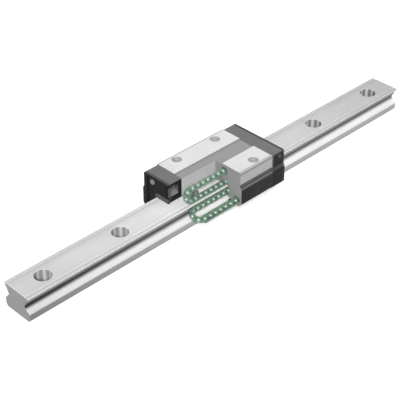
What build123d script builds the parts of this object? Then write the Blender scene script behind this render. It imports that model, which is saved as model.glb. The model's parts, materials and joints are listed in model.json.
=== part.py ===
from build123d import *
import math
import os

os.makedirs("parts", exist_ok=True)

# A radial linear guide: a rail with four ball grooves and a carriage that runs on four
# recirculating chains of caged balls. One quarter of the carriage, the right side of its
# near half, is cut away, so that the two right hand ball circuits stand open to view.
# X runs along the rail towards the far end, Y to the left and Z up. The origin is under
# the middle of the rail, on the surface that the rail is bolted to. All sizes are in mm.

# Rail
rail_length = 340.0
rail_width = 23.0
rail_height = 18.0
rail_hole_pitch = 60.0
rail_end_distance = 20.0
rail_bolt_d = 7.0
rail_head_d = 11.0
rail_head_depth = 9.0
rail_mouth_chamfer = 0.3
rail_edge_chamfer = 0.4
rail_end_chamfer = 0.3
neck_width = 15.0
neck_drop = 7.7
neck_band = 0.6
neck_fillet = 0.5
base_slope_rise = 3.0
foot_inset = 1.6
foot_rise = 2.0

# Balls, grooves and return passages
ball_d = 3.97
race_clearance = 0.08
race_depth = 0.35
top_row_inset = 2.5
flank_row_drop = 3.6
return_hole_d = 5.8
upper_wall_share = 1 / 3
upper_return_shift = 0.5
lower_return_side = 3.9
lower_return_floor = 3.7

# Ball cages, which are belts with a pocket for each ball and a spacer between two balls
ball_pitch = 4.5
cage_width = 4.9
cage_thickness = 0.8
pocket_clearance = 0.07
spacer_length = 2.0
spacer_height = 2.8
spacer_width = 2.8
cage_end_gap = 0.8
cage_end_x = 15.0
belt_clearance = 0.15
guide_clearance = 0.05
passage_clearance = 0.2

# Carriage
carriage_height = 33.0
carriage_width = 48.0
carriage_x = -7.64
block_length = 59.8
pad_inset = 1.2
pad_chamfer = 0.4
recess_width = 12.8
recess_depth = 1.0
relief_drop = 9.3
relief_depth = 0.5
ledge_drop = 10.7
ledge_height = 2.6
leg_lift = 0.8
leg_chamfer = 1.4
toe_run = 4.5
toe_lift = 3.6
roof_gap = 0.9
wall_gap = 1.0
corner_relief = 0.6
corner_relief_drop = 2.3
tap_spacing_x = 35.0
tap_spacing_y = 35.0
tap_d = 6.0
tap_depth = 9.0
tap_mouth_d = 7.0
block_end_chamfer = 0.3

# Cutaway planes
cut_y = 0.0
cut_x_offset = 0.24

# End plates, seals, grease plugs and screws
plate_wall = 3.03
plate_top_drop = 0.5
plate_inset = 0.15
plate_corner = 1.2
plate_rail_gap = 0.7
side_port_d = 3.0
side_port_depth = 1.5
side_port_reach = 7.3
side_port_drop = 3.7
seal_thickness = 1.8
seal_core_thickness = 0.5
seal_core_inset = 0.15
seal_core_gap = 1.4
seal_skin_thickness = 0.4
seal_rim_side = 2.65
seal_rim_width = 1.2
lip_clearance = 0.12
lip_width = 2.3
lip_tip = 0.3
port_d = 7.0
port_depth = 6.7
port_drop = 6.5
plug_d = 8.0
plug_stem = 0.6
plug_chamfer = 0.3
plug_clearance = 0.1
screw_side_share = 1 / 3
screw_drop = 5.3
screw_d = 2.0
screw_head_d = 3.8
screw_head_height = 1.1
screw_slot_width = 0.5
screw_slot_depth = 0.5
screw_bite = 7.0
screw_clearance = 0.1
thread_clearance = 0.02
tip_clearance = 1.0

# Ball retainers and side seals
retainer_clearance = 0.35
lip_ball_clearance = 0.06
corner_lip_reach = 1.0
lower_lip_reach = 1.15
side_seal_thickness = 0.5
side_seal_outer_inset = 1.8
side_seal_inner_gap = 1.9
side_lip_thickness = 0.7
side_lip_gap = 0.3

# Rail section
rail_half = rail_width / 2
neck_half = neck_width / 2
neck_top = rail_height - neck_drop
neck_bottom = neck_top - neck_band
base_edge = neck_bottom - base_slope_rise
head_edge = rail_height - rail_edge_chamfer
flank_run = rail_half - neck_half
flank_rise = head_edge - neck_top
flank_length = math.hypot(flank_run, flank_rise)
flank_out = (flank_rise / flank_length, -flank_run / flank_length)

# Ball rows in the section, as (y, z) on the left side
ball_r = ball_d / 2
race_r = ball_r + race_clearance
row_offset = race_r - race_depth
flank_z = rail_height - flank_row_drop
flank_y = neck_half + (flank_z - neck_top) * flank_run / flank_rise
upper_load = (rail_half - top_row_inset, rail_height + row_offset)
lower_load = (flank_y + flank_out[0] * row_offset, flank_z + flank_out[1] * row_offset)

# Carriage section
carriage_half = carriage_width / 2
pad_half = carriage_half - pad_inset
leg_bottom = base_edge + leg_lift
roof_z = rail_height + roof_gap
wall_y = rail_half + wall_gap
corner_y = wall_y + corner_relief
corner_z = roof_z - corner_relief_drop
return_r = return_hole_d / 2
upper_wall = upper_wall_share * (carriage_height - upper_load[1] - race_r - return_hole_d)
upper_return = (upper_load[0] - upper_return_shift, carriage_height - upper_wall - return_r)
lower_return = (carriage_half - lower_return_side, leg_bottom + lower_return_floor)
turn_radius = max(math.dist(upper_load, upper_return), math.dist(lower_load, lower_return)) / 2
plate_length = turn_radius + ball_r + passage_clearance + plate_wall
block_x0 = carriage_x - block_length / 2
block_x1 = carriage_x + block_length / 2
carriage_length = block_length + 2 * (plate_length + seal_thickness)
carriage_x0 = carriage_x - carriage_length / 2
cut_x = carriage_x + cut_x_offset
plate_top = carriage_height - plate_top_drop
plate_bottom = leg_bottom - side_seal_thickness
port_z = carriage_height - port_drop
screw_inner = upper_return[0] + return_r
screw_y = screw_inner + screw_side_share * (pad_half - screw_inner)
screw_z = carriage_height - screw_drop
pocket_r = ball_r + pocket_clearance
slot_half_width = cage_width / 2 + belt_clearance
slot_half_height = cage_thickness / 2 + belt_clearance
tool_margin = 5.0


def section(x):
    """The plane across the rail at x: its own x and y are the model's Y and Z."""
    return Plane.YZ.offset(x)


def finish(builder, name):
    """Labels a finished sub-part and writes its file."""
    builder.part.label = name
    export_step(builder.part, "parts/" + name + ".step")


def remove_cut_quarter():
    """Takes the quarter that the cutaway opens out of the part in hand."""
    length = cut_x - carriage_x0 + tool_margin
    width = carriage_half + tool_margin
    with BuildSketch(Plane.XY.offset(-tool_margin)) as quarter:
        with Locations((cut_x - length / 2, cut_y - width / 2)):
            Rectangle(length, width)
    extrude(quarter.sketch, amount=carriage_height + 2 * tool_margin, mode=Mode.SUBTRACT)


class Circuit:
    """One ball circuit: a load run and a return run, joined by two half turns."""

    def __init__(self, name, load, back, side):
        self.name = name
        self.side = side
        self.load = (side * load[0], load[1])
        self.back = (side * back[0], back[1])
        across = (self.back[0] - self.load[0], self.back[1] - self.load[1])
        span = math.hypot(*across)
        self.out = (across[0] / span, across[1] / span)
        self.radius = span / 2
        self.centre = ((self.load[0] + self.back[0]) / 2, (self.load[1] + self.back[1]) / 2)
        self.length = 2 * block_length + 2 * math.pi * self.radius
        self.balls = int(self.length // ball_pitch)
        self.pitch = self.length / self.balls

    def plane(self):
        """The plane of the loop: x along the rail, y from the load run to the return run."""
        normal = (0, -self.out[1], self.out[0])
        return Plane((carriage_x, *self.centre), x_dir=(1, 0, 0), z_dir=normal)

    def across(self, x, place=None):
        """The plane across the rail at x: its own x points from the load run to the return run."""
        return Plane((x, *(place or self.centre)), x_dir=(0, *self.out), z_dir=(1, 0, 0))

    def at(self, along):
        """The place and heading at a length along the loop, in the plane of the loop."""
        half = block_length / 2
        turn = math.pi * self.radius
        along = along % self.length
        if along < cage_end_x + half:
            return cage_end_x - along, self.radius, 180.0
        along -= cage_end_x + half
        if along < turn:
            angle = math.pi / 2 + along / self.radius
            place = (self.radius * math.cos(angle) - half, self.radius * math.sin(angle))
            return *place, math.degrees(angle) + 90
        along -= turn
        if along < block_length:
            return along - half, -self.radius, 0.0
        along -= block_length
        if along < turn:
            angle = along / self.radius - math.pi / 2
            place = (self.radius * math.cos(angle) + half, self.radius * math.sin(angle))
            return *place, math.degrees(angle) + 90
        return half - (along - turn), self.radius, 180.0

    def band(self):
        """The belt's course in the plane of the loop, open where its two ends meet."""
        with BuildSketch() as course:
            SlotCenterToCenter(block_length, 2 * self.radius + cage_thickness)
            SlotCenterToCenter(block_length, 2 * self.radius - cage_thickness, mode=Mode.SUBTRACT)
            with Locations((cage_end_x, self.radius)):
                Rectangle(cage_end_gap, spacer_height, mode=Mode.SUBTRACT)
        return course.sketch

    def ball_places(self):
        """The centres of the balls, in the plane of the loop."""
        return [self.at((i + 0.5) * self.pitch)[:2] for i in range(self.balls)]


circuits = []
for side_name, side in (("left", 1), ("right", -1)):
    circuits.append(Circuit("upper_" + side_name, upper_load, upper_return, side))
    circuits.append(Circuit("lower_" + side_name, lower_load, lower_return, side))


def rail_outline(grow=0.0):
    """The rail's section without its ball grooves, grown by a clearance all round."""
    with BuildSketch() as outline:
        with BuildLine():
            Polyline(
                (0, 0),
                (rail_half - foot_inset, 0),
                (rail_half, foot_rise),
                (rail_half, base_edge),
                (neck_half, neck_bottom),
                (neck_half, neck_top),
                (rail_half, head_edge),
                (rail_half - rail_edge_chamfer, rail_height),
                (0, rail_height),
                close=True,
            )
        make_face()
        mirror(about=Plane.YZ)
        if grow:
            offset(amount=grow, kind=Kind.INTERSECTION)
    return outline.sketch


def stepped_outline(inset, top, bottom):
    """The outer section of an end plate: narrow beside the pads, full width below the ledge."""
    with BuildSketch() as outline:
        with BuildLine():
            Polyline(
                (0, top),
                (pad_half - inset, top),
                (pad_half - inset, carriage_height - ledge_drop),
                (carriage_half - inset, carriage_height - ledge_drop - ledge_height),
                (carriage_half - inset, bottom + leg_chamfer),
                (carriage_half - inset - leg_chamfer, bottom),
                (0, bottom),
                close=True,
            )
        make_face()
        fillet(outline.vertices().group_by(Axis.Y)[-1].sort_by(Axis.X)[-1], plate_corner)
        mirror(about=Plane.YZ)
    return outline.sketch


# The rail: drawn bar with a groove near each top edge and one in each flank
hole_count = int((rail_length - 2 * rail_end_distance) // rail_hole_pitch) + 1
hole_first = -(hole_count - 1) * rail_hole_pitch / 2
hole_places = [(hole_first + i * rail_hole_pitch, 0) for i in range(hole_count)]

with BuildPart() as rail:
    with BuildSketch(section(-rail_length / 2)) as rail_section:
        add(rail_outline())
        necks = rail_section.vertices().filter_by(lambda v: abs(abs(v.X) - neck_half) < 0.01)
        fillet(necks, neck_fillet)
        for hand in (1, -1):
            with Locations((hand * upper_load[0], upper_load[1]), (hand * lower_load[0], lower_load[1])):
                Circle(race_r, mode=Mode.SUBTRACT)
    extrude(amount=rail_length)
    chamfer(rail.faces().filter_by(Axis.X).edges(), rail_end_chamfer)
    with Locations(Plane.XY.offset(rail_height)):
        with Locations(*hole_places):
            CounterBoreHole(rail_bolt_d / 2, rail_head_d / 2, rail_head_depth)
    mouths = rail.edges().filter_by(GeomType.CIRCLE).group_by(Axis.Z)[-1]
    chamfer(mouths, rail_mouth_chamfer)
finish(rail, "rail")

# The block: hardened steel body with pads, grooves, return holes, taps and screw holes
with BuildPart() as block:
    with BuildSketch(section(block_x0)):
        with BuildLine():
            Polyline(
                (0, carriage_height - recess_depth),
                (recess_width / 2, carriage_height - recess_depth),
                (recess_width / 2, carriage_height),
                (pad_half - pad_chamfer, carriage_height),
                (pad_half, carriage_height - pad_chamfer),
                (pad_half, carriage_height - relief_drop),
                (pad_half - relief_depth, carriage_height - relief_drop - relief_depth),
                (pad_half - relief_depth, carriage_height - ledge_drop),
                (pad_half, carriage_height - ledge_drop),
                (carriage_half, carriage_height - ledge_drop - ledge_height),
                (carriage_half, leg_bottom + leg_chamfer),
                (carriage_half - leg_chamfer, leg_bottom),
                (wall_y + toe_run, leg_bottom),
                (wall_y, base_edge + toe_lift),
                (wall_y, corner_z - corner_relief),
                (corner_y, corner_z),
                (corner_y, roof_z),
                (0, roof_z),
                close=True,
            )
        make_face()
        with Locations(upper_load, lower_load):
            Circle(race_r, mode=Mode.SUBTRACT)
        slot_top = upper_load[1] + slot_half_height
        with Locations((upper_load[0], (roof_z + slot_top) / 2)):
            Rectangle(2 * slot_half_width, slot_top - roof_z, mode=Mode.SUBTRACT)
        with Locations(upper_return, lower_return):
            Circle(return_r, mode=Mode.SUBTRACT)
        mirror(about=Plane.YZ)
    extrude(amount=block_length)
    outer = block.faces().filter_by(Axis.X).edges().group_by(Axis.Z)[-1]
    chamfer(outer, block_end_chamfer)
    with Locations(Plane.XY.offset(carriage_height)):
        with Locations((carriage_x, 0)):
            with GridLocations(tap_spacing_x, tap_spacing_y, 2, 2):
                CounterSinkHole(tap_d / 2, tap_mouth_d / 2, tap_depth, 90)
    for face_x, inward in ((block_x0, 1), (block_x1, -1)):
        with BuildSketch(section(face_x)):
            with Locations((screw_y, screw_z), (-screw_y, screw_z)):
                Circle(screw_d / 2 + thread_clearance)
        extrude(amount=inward * (screw_bite + tip_clearance), mode=Mode.SUBTRACT)
    remove_cut_quarter()
finish(block, "block")


def turn_section(circuit, x, hollow):
    """Half the section through a turn: the hollow in the end plate, or the guide in it."""
    slack = 0.0 if hollow else guide_clearance
    rim = circuit.radius - slot_half_height
    with BuildSketch(circuit.across(x)) as turn:
        with Locations((rim / 2, 0)):
            Rectangle(rim, 2 * (slot_half_width - slack))
        with Locations((circuit.radius, 0)):
            if hollow:
                Circle(ball_r + passage_clearance)
                Rectangle(2 * slot_half_height, 2 * slot_half_width)
            else:
                Circle(ball_r + passage_clearance, mode=Mode.SUBTRACT)
    return turn.sketch


def turn_axis(circuit, x):
    """The axis that the balls turn about at an end of the block."""
    return Axis((x, *circuit.centre), (0, -circuit.out[1], circuit.out[0]))


def make_end_plate(name, face_x, outward, held):
    """A moulded end plate with its turning passages, grease port and blind side ports."""
    with BuildPart() as plate:
        with BuildSketch(section(face_x)):
            add(stepped_outline(plate_inset, plate_top, plate_bottom))
            add(rail_outline(plate_rail_gap), mode=Mode.SUBTRACT)
        extrude(amount=outward * plate_length)
        for circuit in held:
            hollow = turn_section(circuit, face_x, True)
            revolve(hollow, axis=turn_axis(circuit, face_x), mode=Mode.SUBTRACT)
        with BuildSketch(section(face_x + outward * plate_length)):
            with Locations((0, port_z)):
                Circle(port_d / 2)
        extrude(amount=-outward * port_depth, mode=Mode.SUBTRACT)
        side_port_x = face_x + outward * side_port_reach
        for hand in (1, -1):
            side_port = Plane((side_port_x, hand * (pad_half - plate_inset), 0), (1, 0, 0), (0, hand, 0))
            with BuildSketch(side_port):
                with Locations((0, hand * -(carriage_height - side_port_drop))):
                    Circle(side_port_d / 2)
            extrude(amount=-side_port_depth, mode=Mode.SUBTRACT)
        with BuildSketch(section(face_x)):
            with Locations((screw_y, screw_z), (-screw_y, screw_z)):
                Circle(screw_d / 2 + screw_clearance)
        extrude(amount=outward * plate_length, mode=Mode.SUBTRACT)
        if outward < 0:
            remove_cut_quarter()
    finish(plate, name)


def make_turn_guide(name, circuit, face_x, outward):
    """The half round guide inside a turn, seated on the end of the block."""
    with BuildPart() as guide:
        revolve(turn_section(circuit, face_x, False), axis=turn_axis(circuit, face_x))
        split(bisect_by=section(face_x), keep=Keep.TOP if outward > 0 else Keep.BOTTOM)
    finish(guide, name)


def make_seal(end_name, face_x, outward):
    """An end seal: a steel core, and rubber on it with a raised rim and a lip that flares to the rail."""
    core_x = face_x + outward * seal_core_thickness
    skin_x = core_x + outward * seal_skin_thickness
    rim_height = seal_thickness - seal_core_thickness - seal_skin_thickness
    window_half = pad_half - plate_inset - seal_rim_side
    window_top = plate_top - seal_rim_width
    window_bottom = plate_bottom + seal_rim_width
    window_size = (2 * window_half, window_top - window_bottom)
    core_inset = plate_inset + seal_core_inset
    head_places = ((screw_y, screw_z), (-screw_y, screw_z))
    with BuildPart() as core:
        with BuildSketch(section(face_x)):
            add(stepped_outline(core_inset, plate_top - seal_core_inset, plate_bottom + seal_core_inset))
            add(rail_outline(seal_core_gap), mode=Mode.SUBTRACT)
            with Locations((0, port_z)):
                Circle(plug_d / 2 + plug_clearance, mode=Mode.SUBTRACT)
            with Locations(*head_places):
                Circle(screw_d / 2 + screw_clearance, mode=Mode.SUBTRACT)
        extrude(amount=outward * seal_core_thickness)
        if outward < 0:
            remove_cut_quarter()
    finish(core, "seal_core_" + end_name)
    with BuildPart() as rubber:
        with BuildSketch(section(skin_x)):
            add(rail_outline(lip_clearance + lip_width))
        with BuildSketch(section(skin_x + outward * rim_height)):
            add(rail_outline(lip_clearance + lip_tip))
        loft(ruled=True)
        with BuildSketch(section(skin_x)):
            add(stepped_outline(plate_inset, plate_top, plate_bottom))
            with Locations((0, (window_top + window_bottom) / 2)):
                RectangleRounded(*window_size, plate_corner, mode=Mode.SUBTRACT)
        extrude(amount=outward * rim_height)
        with BuildSketch(section(core_x)):
            add(stepped_outline(plate_inset, plate_top, plate_bottom))
            with Locations((0, port_z)):
                Circle(plug_d / 2 + plug_clearance, mode=Mode.SUBTRACT)
            with Locations(*head_places):
                Circle(screw_head_d / 2 + screw_clearance, mode=Mode.SUBTRACT)
        extrude(amount=outward * seal_skin_thickness)
        with BuildSketch(section(core_x)):
            add(rail_outline(lip_clearance))
            with Locations((0, plate_bottom / 2 - tool_margin)):
                Rectangle(carriage_width, plate_bottom + 2 * tool_margin)
        extrude(amount=outward * seal_thickness, mode=Mode.SUBTRACT)
        if outward < 0:
            remove_cut_quarter()
    finish(rubber, "seal_rubber_" + end_name)


def make_plug(end_name, face_x, outward):
    """The rubber plug that closes the grease port when no nipple is fitted."""
    with BuildPart() as plug:
        with BuildSketch(section(face_x)):
            with Locations((0, port_z)):
                Circle(plug_d / 2)
        extrude(amount=outward * seal_thickness)
        outer = plug.faces().filter_by(Axis.X).sort_by(Axis.X)[-1 if outward > 0 else 0]
        chamfer(outer.edges(), plug_chamfer)
        with BuildSketch(section(face_x)):
            with Locations((0, port_z)):
                Circle(port_d / 2 - thread_clearance)
        extrude(amount=-outward * plug_stem)
        if outward < 0:
            remove_cut_quarter()
    finish(plug, "grease_plug_" + end_name)


def make_screws(name, face_x, outward, sides):
    """The slotted cheese head screws that hold an end plate and its seal to the block."""
    seat_x = face_x + outward * (plate_length + seal_core_thickness)
    shank = plate_length + seal_core_thickness + screw_bite
    with BuildPart() as screws:
        for hand in sides:
            with BuildSketch(section(seat_x)):
                with Locations((hand * screw_y, screw_z)):
                    Circle(screw_d / 2)
            extrude(amount=-outward * shank)
            with BuildSketch(section(seat_x)):
                with Locations((hand * screw_y, screw_z)):
                    Circle(screw_head_d / 2)
            extrude(amount=outward * screw_head_height)
            with BuildSketch(section(seat_x + outward * screw_head_height)):
                with Locations((hand * screw_y, screw_z)):
                    Rectangle(screw_head_d, screw_slot_width, rotation=45)
            extrude(amount=-outward * screw_slot_depth, mode=Mode.SUBTRACT)
    finish(screws, name)


near_held = [c for c in circuits if c.side > 0]
make_end_plate("end_plate_near", block_x0, -1, near_held)
make_end_plate("end_plate_far", block_x1, 1, circuits)
for circuit in near_held:
    make_turn_guide("turn_guide_near_" + circuit.name, circuit, block_x0, -1)
for circuit in circuits:
    make_turn_guide("turn_guide_far_" + circuit.name, circuit, block_x1, 1)
make_seal("near", block_x0 - plate_length, -1)
make_seal("far", block_x1 + plate_length, 1)
make_plug("near", block_x0 - plate_length, -1)
make_plug("far", block_x1 + plate_length, 1)
make_screws("seal_screws_near", block_x0, -1, (1,))
make_screws("seal_screws_far", block_x1, 1, (1, -1))

# The resin sleeves in the return holes, with side slots for the belts. In the opened quarter
# the lower one is left as a trough, which carries its chain of balls.
for circuit in circuits:
    with BuildPart() as sleeve:
        with BuildSketch(circuit.across(block_x0, circuit.back)):
            Circle(return_r - thread_clearance)
            Circle(ball_r + passage_clearance, mode=Mode.SUBTRACT)
            Rectangle(2 * slot_half_height, 2 * slot_half_width, mode=Mode.SUBTRACT)
        extrude(amount=block_length)
        if circuit.name == "lower_right":
            with BuildSketch(section(block_x0)):
                with Locations((circuit.back[0], circuit.back[1] + return_r)):
                    Rectangle(return_hole_d, return_hole_d)
            extrude(amount=cut_x - block_x0, mode=Mode.SUBTRACT)
        elif circuit.side < 0:
            remove_cut_quarter()
    finish(sleeve, "return_sleeve_" + circuit.name)

# Ball cages and balls
for circuit in circuits:
    with BuildPart() as balls:
        with Locations(circuit.plane()):
            with Locations(*circuit.ball_places()):
                Sphere(ball_r)
    finish(balls, "balls_" + circuit.name)

    with BuildPart() as cage:
        with BuildSketch(circuit.plane()):
            add(circuit.band())
            for i in range(1, circuit.balls):
                x, y, heading = circuit.at(i * circuit.pitch)
                with Locations(Location((x, y, 0), (0, 0, heading))):
                    Rectangle(spacer_length, spacer_height)
            with Locations(*circuit.ball_places()):
                Circle(pocket_r, mode=Mode.SUBTRACT)
        extrude(amount=spacer_width / 2, both=True)
        for hand in (1, -1):
            with BuildSketch(circuit.plane().offset(hand * spacer_width / 2)):
                add(circuit.band())
                with Locations(*circuit.ball_places()):
                    Circle(pocket_r, mode=Mode.SUBTRACT)
            extrude(amount=hand * (pocket_r - spacer_width / 2))
            with BuildSketch(circuit.plane().offset(hand * pocket_r)):
                add(circuit.band())
            extrude(amount=hand * (cage_width / 2 - pocket_r))
    finish(cage, "ball_cage_" + circuit.name)

# The retainers, which keep the balls in the block when it is off the rail
upper_lip = math.sqrt(ball_r**2 - (upper_load[1] - roof_z) ** 2) + lip_ball_clearance
retainer_bottom = rail_height + retainer_clearance
groove_reach = math.sqrt(race_r**2 - (wall_y - lower_load[0]) ** 2)
wall_top = lower_load[1] - groove_reach - retainer_clearance
lower_left = circuits[1]


def beside_ball(inward, up):
    """A point (y, z) beside the left lower load run: towards the rail, and up along the belt."""
    out = lower_left.out
    y = lower_left.load[0] - inward * out[0] - up * out[1]
    z = lower_left.load[1] - inward * out[1] + up * out[0]
    return y, z


def lip_edge(inward):
    """How far up or down a lip may come beside the ball, at a distance towards the rail."""
    return math.sqrt(ball_r**2 - inward**2) + lip_ball_clearance


with BuildPart() as upper_retainer:
    with BuildSketch(section(block_x0)):
        with Locations((0, (roof_z + retainer_bottom) / 2)):
            Rectangle(2 * (upper_load[0] - upper_lip), roof_z - retainer_bottom)
    extrude(amount=block_length)
    remove_cut_quarter()
finish(upper_retainer, "ball_retainer_upper")

for side_name, side in (("left", 1), ("right", -1)):
    flank_side = rail_half + retainer_clearance
    flank_corner = head_edge - retainer_clearance * flank_run / flank_rise
    with BuildPart() as corner_retainer:
        with BuildSketch(section(block_x0)):
            with BuildLine():
                Polyline(
                    beside_ball(corner_lip_reach, lip_edge(corner_lip_reach)),
                    (flank_side, flank_corner),
                    (flank_side, retainer_bottom),
                    (upper_load[0] + upper_lip, retainer_bottom),
                    (upper_load[0] + upper_lip, roof_z),
                    (corner_y, roof_z),
                    (corner_y, corner_z),
                    beside_ball(-slot_half_height, slot_half_width),
                    beside_ball(slot_half_height, slot_half_width),
                    beside_ball(slot_half_height, lip_edge(slot_half_height)),
                    close=True,
                )
            make_face()
            if side < 0:
                mirror(about=Plane.YZ, mode=Mode.REPLACE)
        extrude(amount=block_length)
        if side < 0:
            remove_cut_quarter()
    finish(corner_retainer, "ball_retainer_corner_" + side_name)

    with BuildPart() as lower_retainer:
        with BuildSketch(section(block_x0)):
            with BuildLine():
                Polyline(
                    beside_ball(lower_lip_reach, -lip_edge(lower_lip_reach)),
                    beside_ball(slot_half_height, -lip_edge(slot_half_height)),
                    beside_ball(slot_half_height, -slot_half_width),
                    beside_ball(-slot_half_height, -slot_half_width),
                    (wall_y, wall_top),
                    (wall_y, base_edge + toe_lift),
                    beside_ball(lower_lip_reach, -slot_half_width - 2 * retainer_clearance),
                    beside_ball(lower_lip_reach + retainer_clearance, -slot_half_width),
                    close=True,
                )
            make_face()
            if side < 0:
                mirror(about=Plane.YZ, mode=Mode.REPLACE)
        extrude(amount=block_length)
        if side < 0:
            remove_cut_quarter()
    finish(lower_retainer, "ball_retainer_lower_" + side_name)

# The side seals under the legs: a steel strip and a rubber lip that reaches to the rail
strip_outer = carriage_half - side_seal_outer_inset
strip_inner = rail_half + side_seal_inner_gap
strip_y = (strip_outer + strip_inner) / 2
strip_z = leg_bottom - side_seal_thickness / 2
for side_name, side in (("left", 1), ("right", -1)):
    with BuildPart() as strip:
        with BuildSketch(section(block_x0)):
            with Locations((side * strip_y, strip_z)):
                Rectangle(strip_outer - strip_inner, side_seal_thickness)
        extrude(amount=block_length)
        if side < 0:
            remove_cut_quarter()
    finish(strip, "side_seal_strip_" + side_name)

    with BuildPart() as side_lip:
        with BuildSketch(section(block_x0)):
            with BuildLine():
                Polyline(
                    (strip_inner, leg_bottom),
                    (strip_inner, leg_bottom - side_seal_thickness),
                    (rail_half + side_lip_gap, leg_bottom - side_lip_thickness),
                    (rail_half + side_lip_gap, leg_bottom - side_seal_thickness),
                    close=True,
                )
            make_face()
            if side < 0:
                mirror(about=Plane.YZ, mode=Mode.REPLACE)
        extrude(amount=block_length)
        if side < 0:
            remove_cut_quarter()
    finish(side_lip, "side_seal_lip_" + side_name)
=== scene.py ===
import json
import math
import bpy
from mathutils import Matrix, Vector

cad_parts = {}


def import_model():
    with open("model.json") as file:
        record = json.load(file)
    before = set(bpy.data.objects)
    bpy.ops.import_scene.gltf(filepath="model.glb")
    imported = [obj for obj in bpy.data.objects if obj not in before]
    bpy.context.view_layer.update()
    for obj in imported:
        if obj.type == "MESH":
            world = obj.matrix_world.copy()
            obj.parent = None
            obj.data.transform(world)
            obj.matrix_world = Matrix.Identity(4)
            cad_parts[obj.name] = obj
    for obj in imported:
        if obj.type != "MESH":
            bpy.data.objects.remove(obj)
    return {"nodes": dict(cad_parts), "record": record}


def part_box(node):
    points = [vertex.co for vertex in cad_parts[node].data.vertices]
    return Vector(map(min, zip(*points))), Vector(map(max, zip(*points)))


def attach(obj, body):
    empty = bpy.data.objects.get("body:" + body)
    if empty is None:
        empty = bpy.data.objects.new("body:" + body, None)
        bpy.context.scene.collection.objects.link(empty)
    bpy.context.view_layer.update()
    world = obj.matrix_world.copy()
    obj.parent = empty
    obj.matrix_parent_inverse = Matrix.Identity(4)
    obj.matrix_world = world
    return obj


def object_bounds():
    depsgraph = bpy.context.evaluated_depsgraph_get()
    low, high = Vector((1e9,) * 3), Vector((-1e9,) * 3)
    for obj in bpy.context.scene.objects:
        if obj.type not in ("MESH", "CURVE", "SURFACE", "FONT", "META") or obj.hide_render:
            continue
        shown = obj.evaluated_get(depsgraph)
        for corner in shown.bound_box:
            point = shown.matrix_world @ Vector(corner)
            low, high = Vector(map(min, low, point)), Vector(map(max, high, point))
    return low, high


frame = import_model()
cad_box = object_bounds()
nodes = frame["nodes"]
record = frame["record"]

# Places and lengths are in metres, and the camera's sensor is in millimetres. The greys and the
# colours of the finishes are 0 to 255 values of the sRGB curve. The floor's colour is linear.

# The photograph's view: a square frame, and the camera that was fitted to 28 points of the object
VIEW_AZIMUTH = math.radians(-44.51)
VIEW_ELEVATION = math.radians(35.47)
CAMERA_PLACE = Vector((-0.46718, -0.45372, 0.46092))
PHOTO_SIDE = 400
FOCAL_PIXELS = 1198.63
SENSOR_WIDTH = 36.0
CLIP_START = 0.01
CLIP_END = 20.0

# The studio: a floor and a sky that the camera sees as white, a key lamp and a weak fill
FLOOR_SIDE = 12.0
FLOOR_COLOUR = 0.93
FLOOR_LIFT = 0.3
AMBIENT = 0.32
KEY_TOWARDS = Vector((-0.57, -0.58, 0.62))
KEY_STRENGTH = 3.1
KEY_SPREAD = math.radians(14)
FILL_TOWARDS = Vector((0.5, 0.6, 1.0))
FILL_STRENGTH = 0.4
FILL_SPREAD = math.radians(90)

# Sizes of the painted forms that the boxes of the CAD nodes don't give. A drop is from the top
# down. A radius is a little more than that of the solid, so that it takes in the whole wall.
HEAD_EDGE_DROP = 0.0004
NECK_TOP_DROP = 0.0077
NECK_BOTTOM_DROP = 0.0083
BASE_EDGE_DROP = 0.0113
HOLE_COUNT = 6
HOLE_PITCH = 0.06
HOLE_RADIUS = 0.0057
PAD_EDGE_DROP = 0.0004
RECESS_DROP = 0.001
RELIEF_DROP = 0.0093
LEDGE_TOP_DROP = 0.0107
LEDGE_BOTTOM_DROP = 0.0133
TAP_OFFSET = 0.0175
TAP_RADIUS = 0.0034
PORT_RADIUS = 0.0036
PORT_DEPTH = 0.0067
PLUG_RADIUS = 0.00405
SHOULDER_LENGTH = 0.0014
SIDE_PORT_RADIUS = 0.0016
SIDE_PORT_DROP = 0.0037
SIDE_PORT_OFFSET = 0.0073

# Levels and places of these forms. The port's floor, the shoulder's end and the side port are
# the same at both ends, so they are measured from the carriage's middle.
rail_low, rail_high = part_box("rail")
block_low, block_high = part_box("block")
plate_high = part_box("end_plate_far")[1]
plug_low, plug_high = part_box("grease_plug_far")
cut_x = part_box("return_sleeve_upper_right")[0].x
carriage_x = (block_low.x + block_high.x) / 2
port_z = (plug_low.z + plug_high.z) / 2
port_floor = plate_high.x - PORT_DEPTH - carriage_x
shoulder_end = block_high.x + SHOULDER_LENGTH - carriage_x
side_port_x = block_high.x + SIDE_PORT_OFFSET - carriage_x
pad_top = block_high.z
side_port_z = pad_top - SIDE_PORT_DROP
pad_edge = pad_top - PAD_EDGE_DROP
recess_floor = pad_top - RECESS_DROP
relief_top = pad_top - RELIEF_DROP
ledge_top = pad_top - LEDGE_TOP_DROP
ledge_bottom = pad_top - LEDGE_BOTTOM_DROP
head_edge = rail_high.z - HEAD_EDGE_DROP
neck_top = rail_high.z - NECK_TOP_DROP
neck_bottom = rail_high.z - NECK_BOTTOM_DROP
base_edge = rail_high.z - BASE_EDGE_DROP

# The Mix node's colour sockets by number, because its socket names repeat
MIX_SHARE, MIX_FIRST, MIX_SECOND, MIX_RESULT = 0, 6, 7, 2

# How finishes are laid on: the soft edge of a painted area, of one at a plane and of the cut
# plane itself, then the noises, and the part of their values that a change is spread over
SOFT_EDGE = 0.0001
PLANE_EDGE = 0.00005
CUT_EDGE = (0.00003, 0.00006)
NOISE_DETAIL = 4.0
NOISE_ROUGHNESS = 0.6
CLOUD_DETAIL = 3.0
GRAIN_BAND = (0.3, 0.7)
CLOUD_BAND = (0.35, 0.7)

scene = bpy.context.scene
scene.view_settings.view_transform = "Standard"


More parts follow.
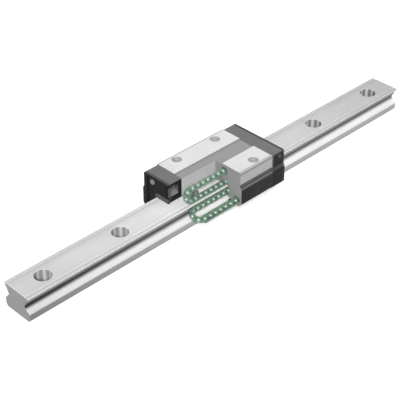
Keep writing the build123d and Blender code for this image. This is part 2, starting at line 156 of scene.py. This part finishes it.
def camera():
    """Stands where the photograph was taken from."""
    data = bpy.data.cameras.new("photo_camera")
    data.sensor_width = SENSOR_WIDTH
    data.lens = FOCAL_PIXELS * SENSOR_WIDTH / PHOTO_SIDE
    data.clip_start = CLIP_START
    data.clip_end = CLIP_END
    seen = bpy.data.objects.new("photo_camera", data)
    back = Vector((
        math.sin(VIEW_AZIMUTH) * math.cos(VIEW_ELEVATION),
        -math.cos(VIEW_AZIMUTH) * math.cos(VIEW_ELEVATION),
        math.sin(VIEW_ELEVATION),
    ))
    seen.location = CAMERA_PLACE
    seen.rotation_mode = "QUATERNION"
    seen.rotation_quaternion = (-back).to_track_quat("-Z", "Y")
    scene.collection.objects.link(seen)
    scene.camera = seen


def seen_rays(tree):
    """1 for what the camera, a reflection or glass sees, and 0 for the light on the object."""
    path = tree.nodes.new("ShaderNodeLightPath").outputs
    share = path["Is Camera Ray"]
    for ray in ("Is Glossy Ray", "Is Transmission Ray"):
        larger = tree.nodes.new("ShaderNodeMath")
        larger.operation = "MAXIMUM"
        tree.links.new(share, larger.inputs[0])
        tree.links.new(path[ray], larger.inputs[1])
        share = larger.outputs[0]
    return share


def world():
    """White to the camera and to reflections, a softer light on everything else."""
    studio = bpy.data.worlds.new("studio")
    studio.use_nodes = True
    tree = studio.node_tree
    tree.nodes.clear()
    output = tree.nodes.new("ShaderNodeOutputWorld")
    sky = tree.nodes.new("ShaderNodeBackground")
    sky.inputs["Color"].default_value = (1.0, 1.0, 1.0, 1.0)
    strength = tree.nodes.new("ShaderNodeMapRange")
    strength.inputs["To Min"].default_value = AMBIENT
    strength.inputs["To Max"].default_value = 1.0
    tree.links.new(seen_rays(tree), strength.inputs["Value"])
    tree.links.new(strength.outputs[0], sky.inputs["Strength"])
    tree.links.new(sky.outputs[0], output.inputs["Surface"])
    scene.world = studio


def lamp(name, towards, strength, spread):
    """One soft lamp, as far off as the sky."""
    data = bpy.data.lights.new(name, "SUN")
    data.energy = strength
    data.angle = spread
    made = bpy.data.objects.new(name, data)
    made.rotation_mode = "QUATERNION"
    made.rotation_quaternion = towards.to_track_quat("Z", "Y")
    scene.collection.objects.link(made)


def lamps():
    """A key from the camera's side, so that shadows fall behind the object, and a weak fill."""
    lamp("key", KEY_TOWARDS, KEY_STRENGTH, KEY_SPREAD)
    lamp("fill", FILL_TOWARDS, FILL_STRENGTH, FILL_SPREAD)


def floor():
    """A pale floor that renders white and keeps the object's shadow."""
    bpy.ops.mesh.primitive_plane_add(size=FLOOR_SIDE, location=(0.0, 0.0, cad_box[0].z))
    plane = bpy.context.object
    plane.name = "floor"
    material = bpy.data.materials.new("floor")
    material.use_nodes = True
    tree = material.node_tree
    tree.nodes.clear()
    output = tree.nodes.new("ShaderNodeOutputMaterial")
    surface = tree.nodes.new("ShaderNodeBsdfDiffuse")
    surface.inputs["Color"].default_value = (FLOOR_COLOUR, FLOOR_COLOUR, FLOOR_COLOUR, 1.0)
    share = tree.nodes.new("ShaderNodeMath")
    share.operation = "MULTIPLY"
    share.inputs[1].default_value = FLOOR_LIFT
    lift = tree.nodes.new("ShaderNodeEmission")
    joined = tree.nodes.new("ShaderNodeAddShader")
    tree.links.new(seen_rays(tree), share.inputs[0])
    tree.links.new(share.outputs[0], lift.inputs["Strength"])
    tree.links.new(surface.outputs[0], joined.inputs[0])
    tree.links.new(lift.outputs[0], joined.inputs[1])
    tree.links.new(joined.outputs[0], output.inputs["Surface"])
    plane.data.materials.append(material)


def srgb(*values):
    """A linear colour from 0 to 255 values of the sRGB curve."""
    linear = [
        (value / 255 / 12.92) if value < 11 else ((value / 255 + 0.055) / 1.055) ** 2.4
        for value in values
    ]
    return (*linear, 1.0)


def grey(value):
    """A linear grey from one 0 to 255 value."""
    return srgb(value, value, value)


class Paint:
    """A material's node tree, with short calls for the nodes that the finishes share."""

    def __init__(self, name):
        self.material = bpy.data.materials.new(name)
        self.material.use_nodes = True
        self.tree = self.material.node_tree
        self.tree.nodes.clear()
        self.shader = self.tree.nodes.new("ShaderNodeBsdfPrincipled")
        output = self.tree.nodes.new("ShaderNodeOutputMaterial")
        self.tree.links.new(self.shader.outputs["BSDF"], output.inputs["Surface"])
        self.place = self.node("ShaderNodeTexCoord", {}).outputs["Object"]
        normal = self.node("ShaderNodeNewGeometry", {}).outputs["Normal"]
        place = self.node("ShaderNodeSeparateXYZ", {"Vector": self.place}).outputs
        facing = self.node("ShaderNodeSeparateXYZ", {"Vector": normal}).outputs
        self.x, self.y, self.z = place["X"], place["Y"], place["Z"]
        self.nx, self.ny, self.nz = facing["X"], facing["Y"], facing["Z"]

    def feed(self, socket, value):
        """Links an input to another node's socket, or sets it to a value."""
        if isinstance(value, bpy.types.NodeSocket):
            self.tree.links.new(value, socket)
        else:
            socket.default_value = value

    def node(self, kind, inputs, **settings):
        """A node with its settings and its inputs, by name or by number."""
        made = self.tree.nodes.new(kind)
        for key, value in settings.items():
            setattr(made, key, value)
        for key, value in inputs.items():
            self.feed(made.inputs[key], value)
        return made

    def set(self, **inputs):
        """Feeds the shader's own inputs."""
        for key, value in inputs.items():
            self.feed(self.shader.inputs[key.replace("_", " ")], value)

    def math(self, operation, first, second=0.0):
        """What an operation makes of one or two values."""
        made = self.node("ShaderNodeMath", {0: first, 1: second}, operation=operation)
        return made.outputs["Value"]

    def absolute(self, value):
        """A value without its sign."""
        return self.math("ABSOLUTE", value)

    def less(self, value, taken):
        """A value less another."""
        return self.math("SUBTRACT", value, taken)

    def both(self, *shares):
        """The product of two or more shares."""
        product = shares[0]
        for share in shares[1:]:
            product = self.math("MULTIPLY", product, share)
        return product

    def reach(self, first, second):
        """How far a point lies from an axis, from its two offsets."""
        joined = self.node("ShaderNodeCombineXYZ", {"X": first, "Y": second}).outputs["Vector"]
        made = self.node("ShaderNodeVectorMath", {0: joined}, operation="LENGTH")
        return made.outputs["Value"]

    def ranged(self, value, low, high, to_low, to_high):
        """A value taken from one range to another, held at the ends."""
        inputs = {
            "Value": value, "From Min": low, "From Max": high, "To Min": to_low, "To Max": to_high,
        }
        return self.node("ShaderNodeMapRange", inputs).outputs["Result"]

    def above(self, value, limit, soft=SOFT_EDGE):
        """1 from a limit on, and 0 below it."""
        return self.ranged(value, limit - soft, limit, 0.0, 1.0)

    def below(self, value, limit, soft=SOFT_EDGE):
        """1 below a limit, and 0 from it on."""
        return self.ranged(value, limit - soft, limit, 1.0, 0.0)

    def within(self, value, low, high, soft=PLANE_EDGE):
        """1 where a value lies between two limits, and 0 outside them."""
        return self.both(self.above(value, low, soft), self.below(value, high + soft, soft))

    def facing(self, normal, limits):
        """1 on the faces that look along an axis, either way, and 0 on the others."""
        return self.ranged(self.absolute(normal), *limits, 0.0, 1.0)

    def on_cut(self):
        """1 on the plane through the rail's middle, where the cutaway's long faces lie."""
        return self.ranged(self.absolute(self.y), *CUT_EDGE, 1.0, 0.0)

    def noise(self, scale, detail=NOISE_DETAIL, place=None):
        """A noise from 0 to 1 at a number of cycles per metre."""
        inputs = {
            "Vector": place or self.place,
            "Scale": scale,
            "Detail": detail,
            "Roughness": NOISE_ROUGHNESS,
        }
        return self.node("ShaderNodeTexNoise", inputs).outputs["Fac"]

    def stretched(self, along, across):
        """The place in the object frame, scaled so that a noise runs into streaks along X."""
        inputs = {"Vector": self.place, "Scale": (along, across, across)}
        return self.node("ShaderNodeMapping", inputs).outputs["Vector"]

    def grained(self, noise, low, high):
        """A value that varies from low to high over a fine noise."""
        return self.ranged(noise, *GRAIN_BAND, low, high)

    def clouded(self, scale, share):
        """A share that grows over a broad noise."""
        return self.ranged(self.noise(scale, CLOUD_DETAIL), *CLOUD_BAND, 0.0, share)

    def mixed(self, share, first, second, blend="MIX"):
        """Two colours mixed by a share."""
        inputs = {MIX_SHARE: share, MIX_FIRST: first, MIX_SECOND: second}
        made = self.node("ShaderNodeMix", inputs, data_type="RGBA", blend_type=blend)
        return made.outputs[MIX_RESULT]

    def coated(self, colour, coats):
        """A colour with greys laid over it, each as far as its share goes."""
        for share, shade in coats:
            colour = self.mixed(share, colour, grey(shade))
        return colour

    def greys(self, value, stops):
        """A colour that runs through stops of (value, grey)."""
        low, high = stops[0][0], stops[-1][0]
        made = self.node("ShaderNodeValToRGB", {"Fac": self.ranged(value, low, high, 0.0, 1.0)})
        elements = made.color_ramp.elements
        elements.remove(elements[1])
        for index, (stop, shade) in enumerate(stops):
            position = (stop - low) / (high - low)
            element = elements[0] if index == 0 else elements.new(position)
            element.position = position
            element.color = grey(shade)
        return made.outputs["Color"]

    def bump(self, height, strength, depth):
        """Relief on the surface from a height between 0 and 1."""
        inputs = {"Height": height, "Strength": strength, "Distance": depth}
        self.set(Normal=self.node("ShaderNodeBump", inputs).outputs["Normal"])


# Ground steel, and the grinding of the rail and of the block
LINE_SHARE = 0.25
LINE_GREY = 178
CLOUD_GREY = 120
GROUND_METALLIC = 0.03
GROUND_SPREAD = 0.1
LINE_DEPTH = 0.00002
RAIL_GRINDING = {
    "along": 30.0, "across": 4200.0, "cloud_scale": 38.0, "cloud_share": 0.1,
    "roughness": 0.54, "specular": 0.12, "relief": 0.12,
}
BLOCK_GRINDING = {
    "along": 40.0, "across": 3600.0, "cloud_scale": 60.0, "cloud_share": 0.08,
    "roughness": 0.52, "specular": 0.1, "relief": 0.1,
}


def ground(paint, colour, along, across, cloud_scale, cloud_share, roughness, specular, relief):
    """Gives a steel the fine lines of grinding along X, faint clouds and a satin gloss."""
    lines = paint.noise(1.0, place=paint.stretched(along, across))
    colour = paint.mixed(paint.grained(lines, 0.0, LINE_SHARE), colour, grey(LINE_GREY), "MULTIPLY")
    colour = paint.mixed(paint.clouded(cloud_scale, cloud_share), colour, grey(CLOUD_GREY))
    paint.set(
        Base_Color=colour,
        Metallic=GROUND_METALLIC,
        Roughness=paint.grained(lines, roughness, roughness + GROUND_SPREAD),
        Specular_IOR_Level=specular,
    )
    paint.bump(lines, relief, LINE_DEPTH)
    return paint.material


# Moulded resin and rubber: the grain of the mould, and the clouds of the flow
MOULD_SCALE = 900.0
MOULD_DETAIL = 5.0
MOULD_STRENGTH = 0.15
MOULD_DEPTH = 0.00005
FLOW_SCALE = 70.0
RESIN_ROUGHNESS = (0.44, 0.58)
RESIN_SPECULAR = 0.25


def cast(paint, colour, scale, roughness, specular):
    """Gives resin or rubber the fine grain of its mould."""
    fine = paint.noise(scale, MOULD_DETAIL)
    paint.set(
        Base_Color=colour,
        Roughness=paint.grained(fine, *roughness),
        Specular_IOR_Level=specular,
    )
    paint.bump(fine, MOULD_STRENGTH, MOULD_DEPTH)
    return paint.material


def moulded(name, dark, light):
    """Moulded resin: a fine grain and faint flow clouds."""
    paint = Paint(name)
    colour = paint.mixed(paint.clouded(FLOW_SCALE, 1.0), dark, light)
    return cast(paint, colour, MOULD_SCALE, RESIN_ROUGHNESS, RESIN_SPECULAR)


# Bright steel: how its roughness varies, and its relief
POLISH_SPREAD = 0.08
POLISH_STRENGTH = 0.05
POLISH_DEPTH = 0.00001


def polished(name, dark, light, metallic, roughness, scale):
    """Steel of balls, screws and seal cores, with a faint lapped or turned grain."""
    paint = Paint(name)
    fine = paint.noise(scale)
    paint.set(
        Base_Color=paint.mixed(paint.grained(fine, 0.0, 1.0), dark, light),
        Metallic=metallic,
        Roughness=paint.grained(fine, roughness, roughness + POLISH_SPREAD),
    )
    paint.bump(fine, POLISH_STRENGTH, POLISH_DEPTH)
    return paint.material


# The rail's greys along its top, up its flanks and up its foot, as (place, grey). They are painted
# light and shade: a sheen along the top, flanks darker towards the neck, a lit slant on the foot.
TOP_PAINTED_LIGHT_GREYS = (
    (rail_low.x, 214), (-0.090, 228), (-0.055, 248),
    (-0.020, 254), (0.030, 228), (rail_high.x, 202),
)
FLANK_PAINTED_SHADE_GREYS = ((neck_bottom, 96), (neck_top, 88), (0.0120, 102), (0.0144, 148), (head_edge, 206))
FOOT_LIGHT_AND_SHADE_GREYS = ((0.0055, 166), (base_edge, 238), (0.0082, 246), (0.0087, 228), (neck_bottom, 98))

# How the rail's greys fade into others: the two ends of a fade, then the share at each of them
TOP_LEFT_FADE = (0.003, rail_high.y, 0.0, 0.5)
TOP_RIGHT_FADE = (rail_low.y, -0.004, 0.36, 0.0)
NEARNESS_FADE = (rail_low.x, -0.02, 1.0, 0.0)
FLANK_FADE = (neck_top, head_edge, 1.0, 0.0)
FLANK_FADE_POWER = 1.6
FOOT_LOW_FADE = (0.0055, base_edge, 0.48, 0.22)
FOOT_HIGH_FADE = (0.0084, neck_bottom, 0.0, 0.93)
HOLE_FLOOR_FADE = (0.2, 0.6, 1.0, 0.6)
HOLE_FAR_FADE = (0.0, 0.12, 0.0, 1.0)
STREAK_FADE = (-0.6, 1.0, 0.0, 1.0)
FAR_FADE = (0.05, rail_high.x, 0.0, 0.12)

# The rail's other greys, all painted shade: the top's edge bands, the near end, the end faces, the
# holes' walls near and far, and the far end; then the painted highlight streaks round a hole's wall
TOP_LEFT_SHADE_GREY = 186
TOP_RIGHT_SHADE_GREY = 196
NEAR_SHADE_GREY = 10
RAIL_END_SHADE_GREY = 143
RAIL_END_FACING = (0.8, 0.95)
HOLE_NEAR_SHADE_GREY = 158
HOLE_FAR_SHADE_GREY = 128
STREAK_HIGHLIGHT_GREY = 216
STREAK_COUNT = 8
STREAK_PHASE = math.radians(134.5)
FAR_SHADE_GREY = 120


def rail_steel():
    """The rail: a ground top, flanks painted darker towards the neck, painted highlight streaks in
    holes.
    """
    paint = Paint("rail_steel")
    # Painted shade: the rail darker at its near end, and its flanks darker towards the neck
    nearness = paint.ranged(paint.x, *NEARNESS_FADE)
    flank_share = paint.math("POWER", paint.ranged(paint.z, *FLANK_FADE), FLANK_FADE_POWER)
    foot_share = paint.math(
        "MAXIMUM",
        paint.ranged(paint.z, *FOOT_LOW_FADE),
        paint.ranged(paint.z, *FOOT_HIGH_FADE),
    )
    # Painted light: a sheen along the top, with painted shade in bands along its edges
    top = paint.coated(paint.greys(paint.x, TOP_PAINTED_LIGHT_GREYS), (
        (paint.ranged(paint.y, *TOP_LEFT_FADE), TOP_LEFT_SHADE_GREY),
        (paint.ranged(paint.y, *TOP_RIGHT_FADE), TOP_RIGHT_SHADE_GREY),
    ))
    shade = grey(NEAR_SHADE_GREY)
    flank = paint.mixed(paint.both(nearness, flank_share), paint.greys(paint.z, FLANK_PAINTED_SHADE_GREYS), shade)
    # Painted light on the foot's slant, and painted shade on its side and at the near end
    foot = paint.mixed(paint.both(nearness, foot_share), paint.greys(paint.z, FOOT_LIGHT_AND_SHADE_GREYS), shade)

    # The holes' walls: painted shade, darker further along, with painted highlight streaks round
    # them
    from_end = paint.math("ADD", paint.x, HOLE_COUNT / 2 * HOLE_PITCH)
    hole_x = paint.less(paint.math("MODULO", from_end, HOLE_PITCH), HOLE_PITCH / 2)
    hole = paint.below(paint.reach(hole_x, paint.y), HOLE_RADIUS)
    hole = paint.both(hole, paint.ranged(paint.absolute(paint.nz), *HOLE_FLOOR_FADE))
    turned = paint.math("ADD", paint.math("ARCTAN2", paint.ny, paint.nx), STREAK_PHASE)
    waves = paint.math("COSINE", paint.math("MULTIPLY", turned, STREAK_COUNT))
    distance = paint.ranged(paint.x, *HOLE_FAR_FADE)
    dark = paint.mixed(distance, grey(HOLE_NEAR_SHADE_GREY), grey(HOLE_FAR_SHADE_GREY))
    wall = paint.mixed(paint.ranged(waves, *STREAK_FADE), dark, grey(STREAK_HIGHLIGHT_GREY))

    colour = paint.mixed(paint.within(paint.z, neck_bottom, head_edge, SOFT_EDGE), top, flank)
    colour = paint.mixed(paint.below(paint.z, neck_bottom), colour, foot)
    # Painted shade on the rail's end faces
    colour = paint.mixed(paint.facing(paint.nx, RAIL_END_FACING), colour, grey(RAIL_END_SHADE_GREY))
    colour = paint.mixed(hole, colour, wall)
    # Painted shade: the rail darker towards its far end
    colour = paint.mixed(paint.ranged(paint.x, *FAR_FADE), colour, grey(FAR_SHADE_GREY))
    return ground(paint, colour, **RAIL_GRINDING)


# The greys up the sides of the block, as (level, grey): black skin, ledge, relief, ground band.
# The black skin and the ground band are the steel's own; the ledge's paler grey is painted light,
# and the relief and the line under the pad's edge are painted shade.
SIDE_SKIN_LIGHT_AND_SHADE_GREYS = (
    (block_low.z, 26),
    (ledge_bottom - 0.0001, 28),
    (ledge_bottom, 68),
    (ledge_bottom + 0.0007, 98),
    (ledge_top - 0.0013, 108),
    (ledge_top - 0.0009, 72),
    (ledge_top - 0.0004, 52),
    (ledge_top + 0.0001, 48),
    (relief_top - 0.0005, 62),
    (relief_top - 0.0002, 150),
    (relief_top + 0.0012, 166),
    (pad_top - 0.0026, 168),
    (pad_top - 0.0022, 144),
    (pad_top - 0.0012, 142),
    (pad_top, 112),
)

# The block's other greys, where they begin, and how far a face looks their way. The pads are
# painted lit, their rim and the cut across the rail painted shade, the cut along it painted lit,
# and the taps' walls painted lighter against their shade.
CUT_FACING = (0.8, 0.9)
BLOCK_TOP_FACING = (0.6, 0.8)
BLOCK_SIDE_FACING = (0.5, 0.6)
BLOCK_SIDE_Y = 0.0218
BLOCK_SIDE_SOFT = 0.0003
RIM_Y = 0.0216
RIM_SOFT = 0.0004
INNER_GREY = 150
PAD_LIT_GREY = 235
RIM_SHADE_GREY = 190
RECESS_GREY = 161
CUT_ACROSS_SHADE_GREY = 152
CUT_ALONG_LIT_GREY = 197
TAP_LIT_GREY = 180


def block_steel():
    """The block: ground pads and upper sides, a milled recess, sawn cuts, a black skin, painted
    light and shade.
    """
    paint = Paint("block_steel")
    across = paint.absolute(paint.y)
    upward = paint.ranged(paint.nz, *BLOCK_TOP_FACING, 0.0, 1.0)
    sideways = paint.facing(paint.ny, BLOCK_SIDE_FACING)
    side = paint.both(sideways, paint.above(across, BLOCK_SIDE_Y, BLOCK_SIDE_SOFT))
    pads = paint.both(upward, paint.above(paint.z, pad_edge))
    recess = paint.within(paint.z, recess_floor - SOFT_EDGE, recess_floor + SOFT_EDGE)
    cut_across = paint.within(paint.x, cut_x - PLANE_EDGE, cut_x + PLANE_EDGE)
    tap_x = paint.less(paint.absolute(paint.less(paint.x, carriage_x)), TAP_OFFSET)
    tap_y = paint.less(across, TAP_OFFSET)
    # Painted light and shade by face: the sides' bands, lit pads, shaded rim and cut across, lit
    # cut along and taps
    colour = paint.coated(paint.mixed(side, grey(INNER_GREY), paint.greys(paint.z, SIDE_SKIN_LIGHT_AND_SHADE_GREYS)), (
        (pads, PAD_LIT_GREY),
        (paint.both(pads, paint.above(across, RIM_Y, RIM_SOFT)), RIM_SHADE_GREY),
        (paint.both(upward, recess), RECESS_GREY),
        (paint.both(cut_across, paint.facing(paint.nx, CUT_FACING)), CUT_ACROSS_SHADE_GREY),
        (paint.both(paint.on_cut(), sideways), CUT_ALONG_LIT_GREY),
        (paint.below(paint.reach(tap_x, tap_y), TAP_RADIUS), TAP_LIT_GREY),
    ))
    return ground(paint, colour, **BLOCK_GRINDING)


# The end plates' greys by how far a face looks up, painted light on dark resin, and up a grease
# port from floor to roof, painted light at the floor and painted shade at the roof
PLATE_LIGHT_AND_SHADE_GREYS = ((0.0, 28), (0.7, 84), (0.95, 119), (1.0, 119))
PORT_LIGHT_AND_SHADE_GREYS = ((port_z - PORT_RADIUS, 134), (port_z - 0.0012, 104), (port_z + PORT_RADIUS, 56))

# The end plates' other greys, where they begin, and how far a face looks their way
PLATE_SIDE_Y = 0.0215
PLATE_SIDE_FACING = (0.8, 0.9)
PLATE_END_FACING = (0.9, 0.95)
SLANT_BAND = (0.3, 0.9)
SLANT_SOFT = 0.05
LOW_SLANT_HEIGHT = 0.0011
LOW_SLANT_SOFT = 0.0009
SHOULDER_RISE = 0.0004
SHOULDER_SOFT = 0.0002
LOW_SLANT_GREY = 36
SHOULDER_GREY = 108
STEP_GREY = 112
SIDE_PORT_GREY = 96
FLOW_GREY = 38
FLOW_SHARE = 0.15
PLATE_ROUGHNESS = (0.5, 0.62)
PLATE_SPECULAR = 0.1


def end_plate_resin():
    """Dark moulded resin, painted lit where it looks up and in its port, paler beside the block and
    at its side port.
    """
    paint = Paint("end_plate_resin")
    along = paint.absolute(paint.less(paint.x, carriage_x))
    outside = paint.above(paint.absolute(paint.y), PLATE_SIDE_Y)
    slant = paint.both(outside, paint.within(paint.nz, *SLANT_BAND, SLANT_SOFT))
    low = paint.below(paint.z, ledge_bottom + LOW_SLANT_HEIGHT, LOW_SLANT_SOFT)
    shoulder = paint.both(
        outside,
        paint.facing(paint.ny, PLATE_SIDE_FACING),
        paint.above(paint.z, ledge_top + SHOULDER_RISE, SHOULDER_RISE),
        paint.below(along, shoulder_end, SHOULDER_SOFT),
    )
    step = paint.both(paint.facing(paint.nx, PLATE_END_FACING), paint.above(paint.z, recess_floor))
    from_port = paint.reach(paint.y, paint.less(paint.z, port_z))
    port = paint.both(paint.below(from_port, PORT_RADIUS), paint.above(along, port_floor))
    side_port = paint.reach(paint.less(along, side_port_x), paint.less(paint.z, side_port_z))
    # Painted light: the resin paler where it looks up
    colour = paint.coated(paint.greys(paint.nz, PLATE_LIGHT_AND_SHADE_GREYS), (
        (paint.both(slant, low), LOW_SLANT_GREY),
        (shoulder, SHOULDER_GREY),
        (step, STEP_GREY),
    ))
    # The grease port: painted light at its floor and painted shade at its roof
    colour = paint.mixed(port, colour, paint.greys(paint.z, PORT_LIGHT_AND_SHADE_GREYS))
    colour = paint.coated(colour, (
        (paint.below(side_port, SIDE_PORT_RADIUS), SIDE_PORT_GREY),
        (paint.clouded(FLOW_SCALE, FLOW_SHARE), FLOW_GREY),
    ))
    return cast(paint, colour, MOULD_SCALE, PLATE_ROUGHNESS, PLATE_SPECULAR)


# The rubber's greys by how far a face looks up, painted light; those of the grease plug, in painted
# shade and painted lit where cut; and its grain
RUBBER_LIGHT_AND_SHADE_GREYS = ((0.0, 30), (0.2, 40), (0.4, 82), (1.0, 82))
PLUG_SHADE_GREY = 22
PLUG_CUT_LIT_GREY = 84
RUBBER_SCALE = 1400.0
RUBBER_ROUGHNESS = (0.58, 0.7)
RUBBER_SPECULAR = 0.1


def seal_rubber():
    """Black rubber, painted lit where it looks up; the grease plug in painted shade, painted lit
    where cut.
    """
    paint = Paint("seal_rubber")
    from_port = paint.reach(paint.y, paint.less(paint.z, port_z))
    cut = paint.both(
        paint.on_cut(),
        paint.facing(paint.ny, CUT_FACING),
        paint.below(from_port, PORT_RADIUS),
    )
    # Painted light: the rubber paler where it looks up
    colour = paint.coated(paint.greys(paint.nz, RUBBER_LIGHT_AND_SHADE_GREYS), (
        # Painted shade: the grease plug darker round the port
        (paint.below(from_port, PLUG_RADIUS, PLANE_EDGE), PLUG_SHADE_GREY),
        # Painted light: the plug's cut face paler
        (cut, PLUG_CUT_LIT_GREY),
    ))
    return cast(paint, colour, RUBBER_SCALE, RUBBER_ROUGHNESS, RUBBER_SPECULAR)


def finishes():
    """One material for each slot of the record."""
    return {
        "rail_steel": rail_steel(),
        "block_steel": block_steel(),
        "end_plate_resin": end_plate_resin(),
        "seal_core_steel": polished(
            "seal_core_steel", grey(66), grey(76), metallic=0.3, roughness=0.45, scale=700.0
        ),
        "seal_rubber": seal_rubber(),
        "screw_steel": polished(
            "screw_steel", grey(116), grey(136), metallic=0.4, roughness=0.38, scale=900.0
        ),
        "guide_resin": moulded("guide_resin", grey(60), grey(70)),
        "sleeve_resin": moulded("sleeve_resin", srgb(98, 120, 104), srgb(110, 132, 116)),
        "cage_resin": moulded("cage_resin", srgb(98, 132, 108), srgb(112, 144, 122)),
        # The balls' green tint is a painted reflection of the green cage on their steel
        "ball_steel": polished(
            "ball_steel", srgb(130, 148, 138), srgb(148, 164, 155),
            metallic=0.6, roughness=0.42, scale=500.0,
        ),
        "retainer_resin": moulded("retainer_resin", grey(120), grey(130)),
    }


def dress_nodes(finish_of_slot):
    """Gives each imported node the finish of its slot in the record."""
    for part in record["subparts"]:
        mesh = nodes[part["node"]].data
        mesh.materials.clear()
        mesh.materials.append(finish_of_slot[part["material_slot"]])


# The threads of the M6 taps. Half the ridge's foot and half its flat are in pitches, and the
# length of its fade is in steps.
THREAD_PITCH = 0.001
THREAD_TURNS = 8
THREAD_STEPS = 40
THREAD_ROOT = 0.00302
THREAD_CREST = 0.0025
THREAD_TOP = 0.0012
THREAD_FOOT = 0.44
THREAD_FLAT = 0.12
THREAD_FADE = 16


def thread(name, x, y, finish):
    """The helical ridge of one tap, as its own mesh on the wall of the hole."""
    profile = (
        (THREAD_ROOT, -THREAD_FOOT),
        (THREAD_CREST, -THREAD_FLAT),
        (THREAD_CREST, THREAD_FLAT),
        (THREAD_ROOT, THREAD_FOOT),
    )
    points, faces = [], []
    last = THREAD_TURNS * THREAD_STEPS
    for step in range(last + 1):
        angle = math.tau * step / THREAD_STEPS
        level = pad_top - THREAD_TOP - THREAD_PITCH * step / THREAD_STEPS
        grown = min(1.0, (step + 1) / THREAD_FADE, (last + 1 - step) / THREAD_FADE)
        for crest, height in profile:
            radius = THREAD_ROOT + (crest - THREAD_ROOT) * grown
            points.append((
                x + radius * math.cos(angle),
                y - radius * math.sin(angle),
                level + height * THREAD_PITCH,
            ))
    size = len(profile)
    for start in range(0, len(points) - size, size):
        for side in range(size):
            after = (side + 1) % size
            faces.append((start + side, start + after, start + size + after, start + size + side))
    faces.append(tuple(range(size)))
    faces.append(tuple(reversed(range(len(points) - size, len(points)))))
    mesh = bpy.data.meshes.new(name)
    mesh.from_pydata(points, [], faces)
    mesh.materials.append(finish)
    made = bpy.data.objects.new(name, mesh)
    scene.collection.objects.link(made)
    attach(made, "carriage")


def threads(finish):
    """The taps that the cutaway leaves in the carriage."""
    for name, side_x, side_y in (("near_left", -1, 1), ("far_left", 1, 1), ("far_right", 1, -1)):
        thread("thread_" + name, carriage_x + side_x * TAP_OFFSET, side_y * TAP_OFFSET, finish)


camera()
world()
lamps()
floor()
materials = finishes()
dress_nodes(materials)
threads(materials["block_steel"])
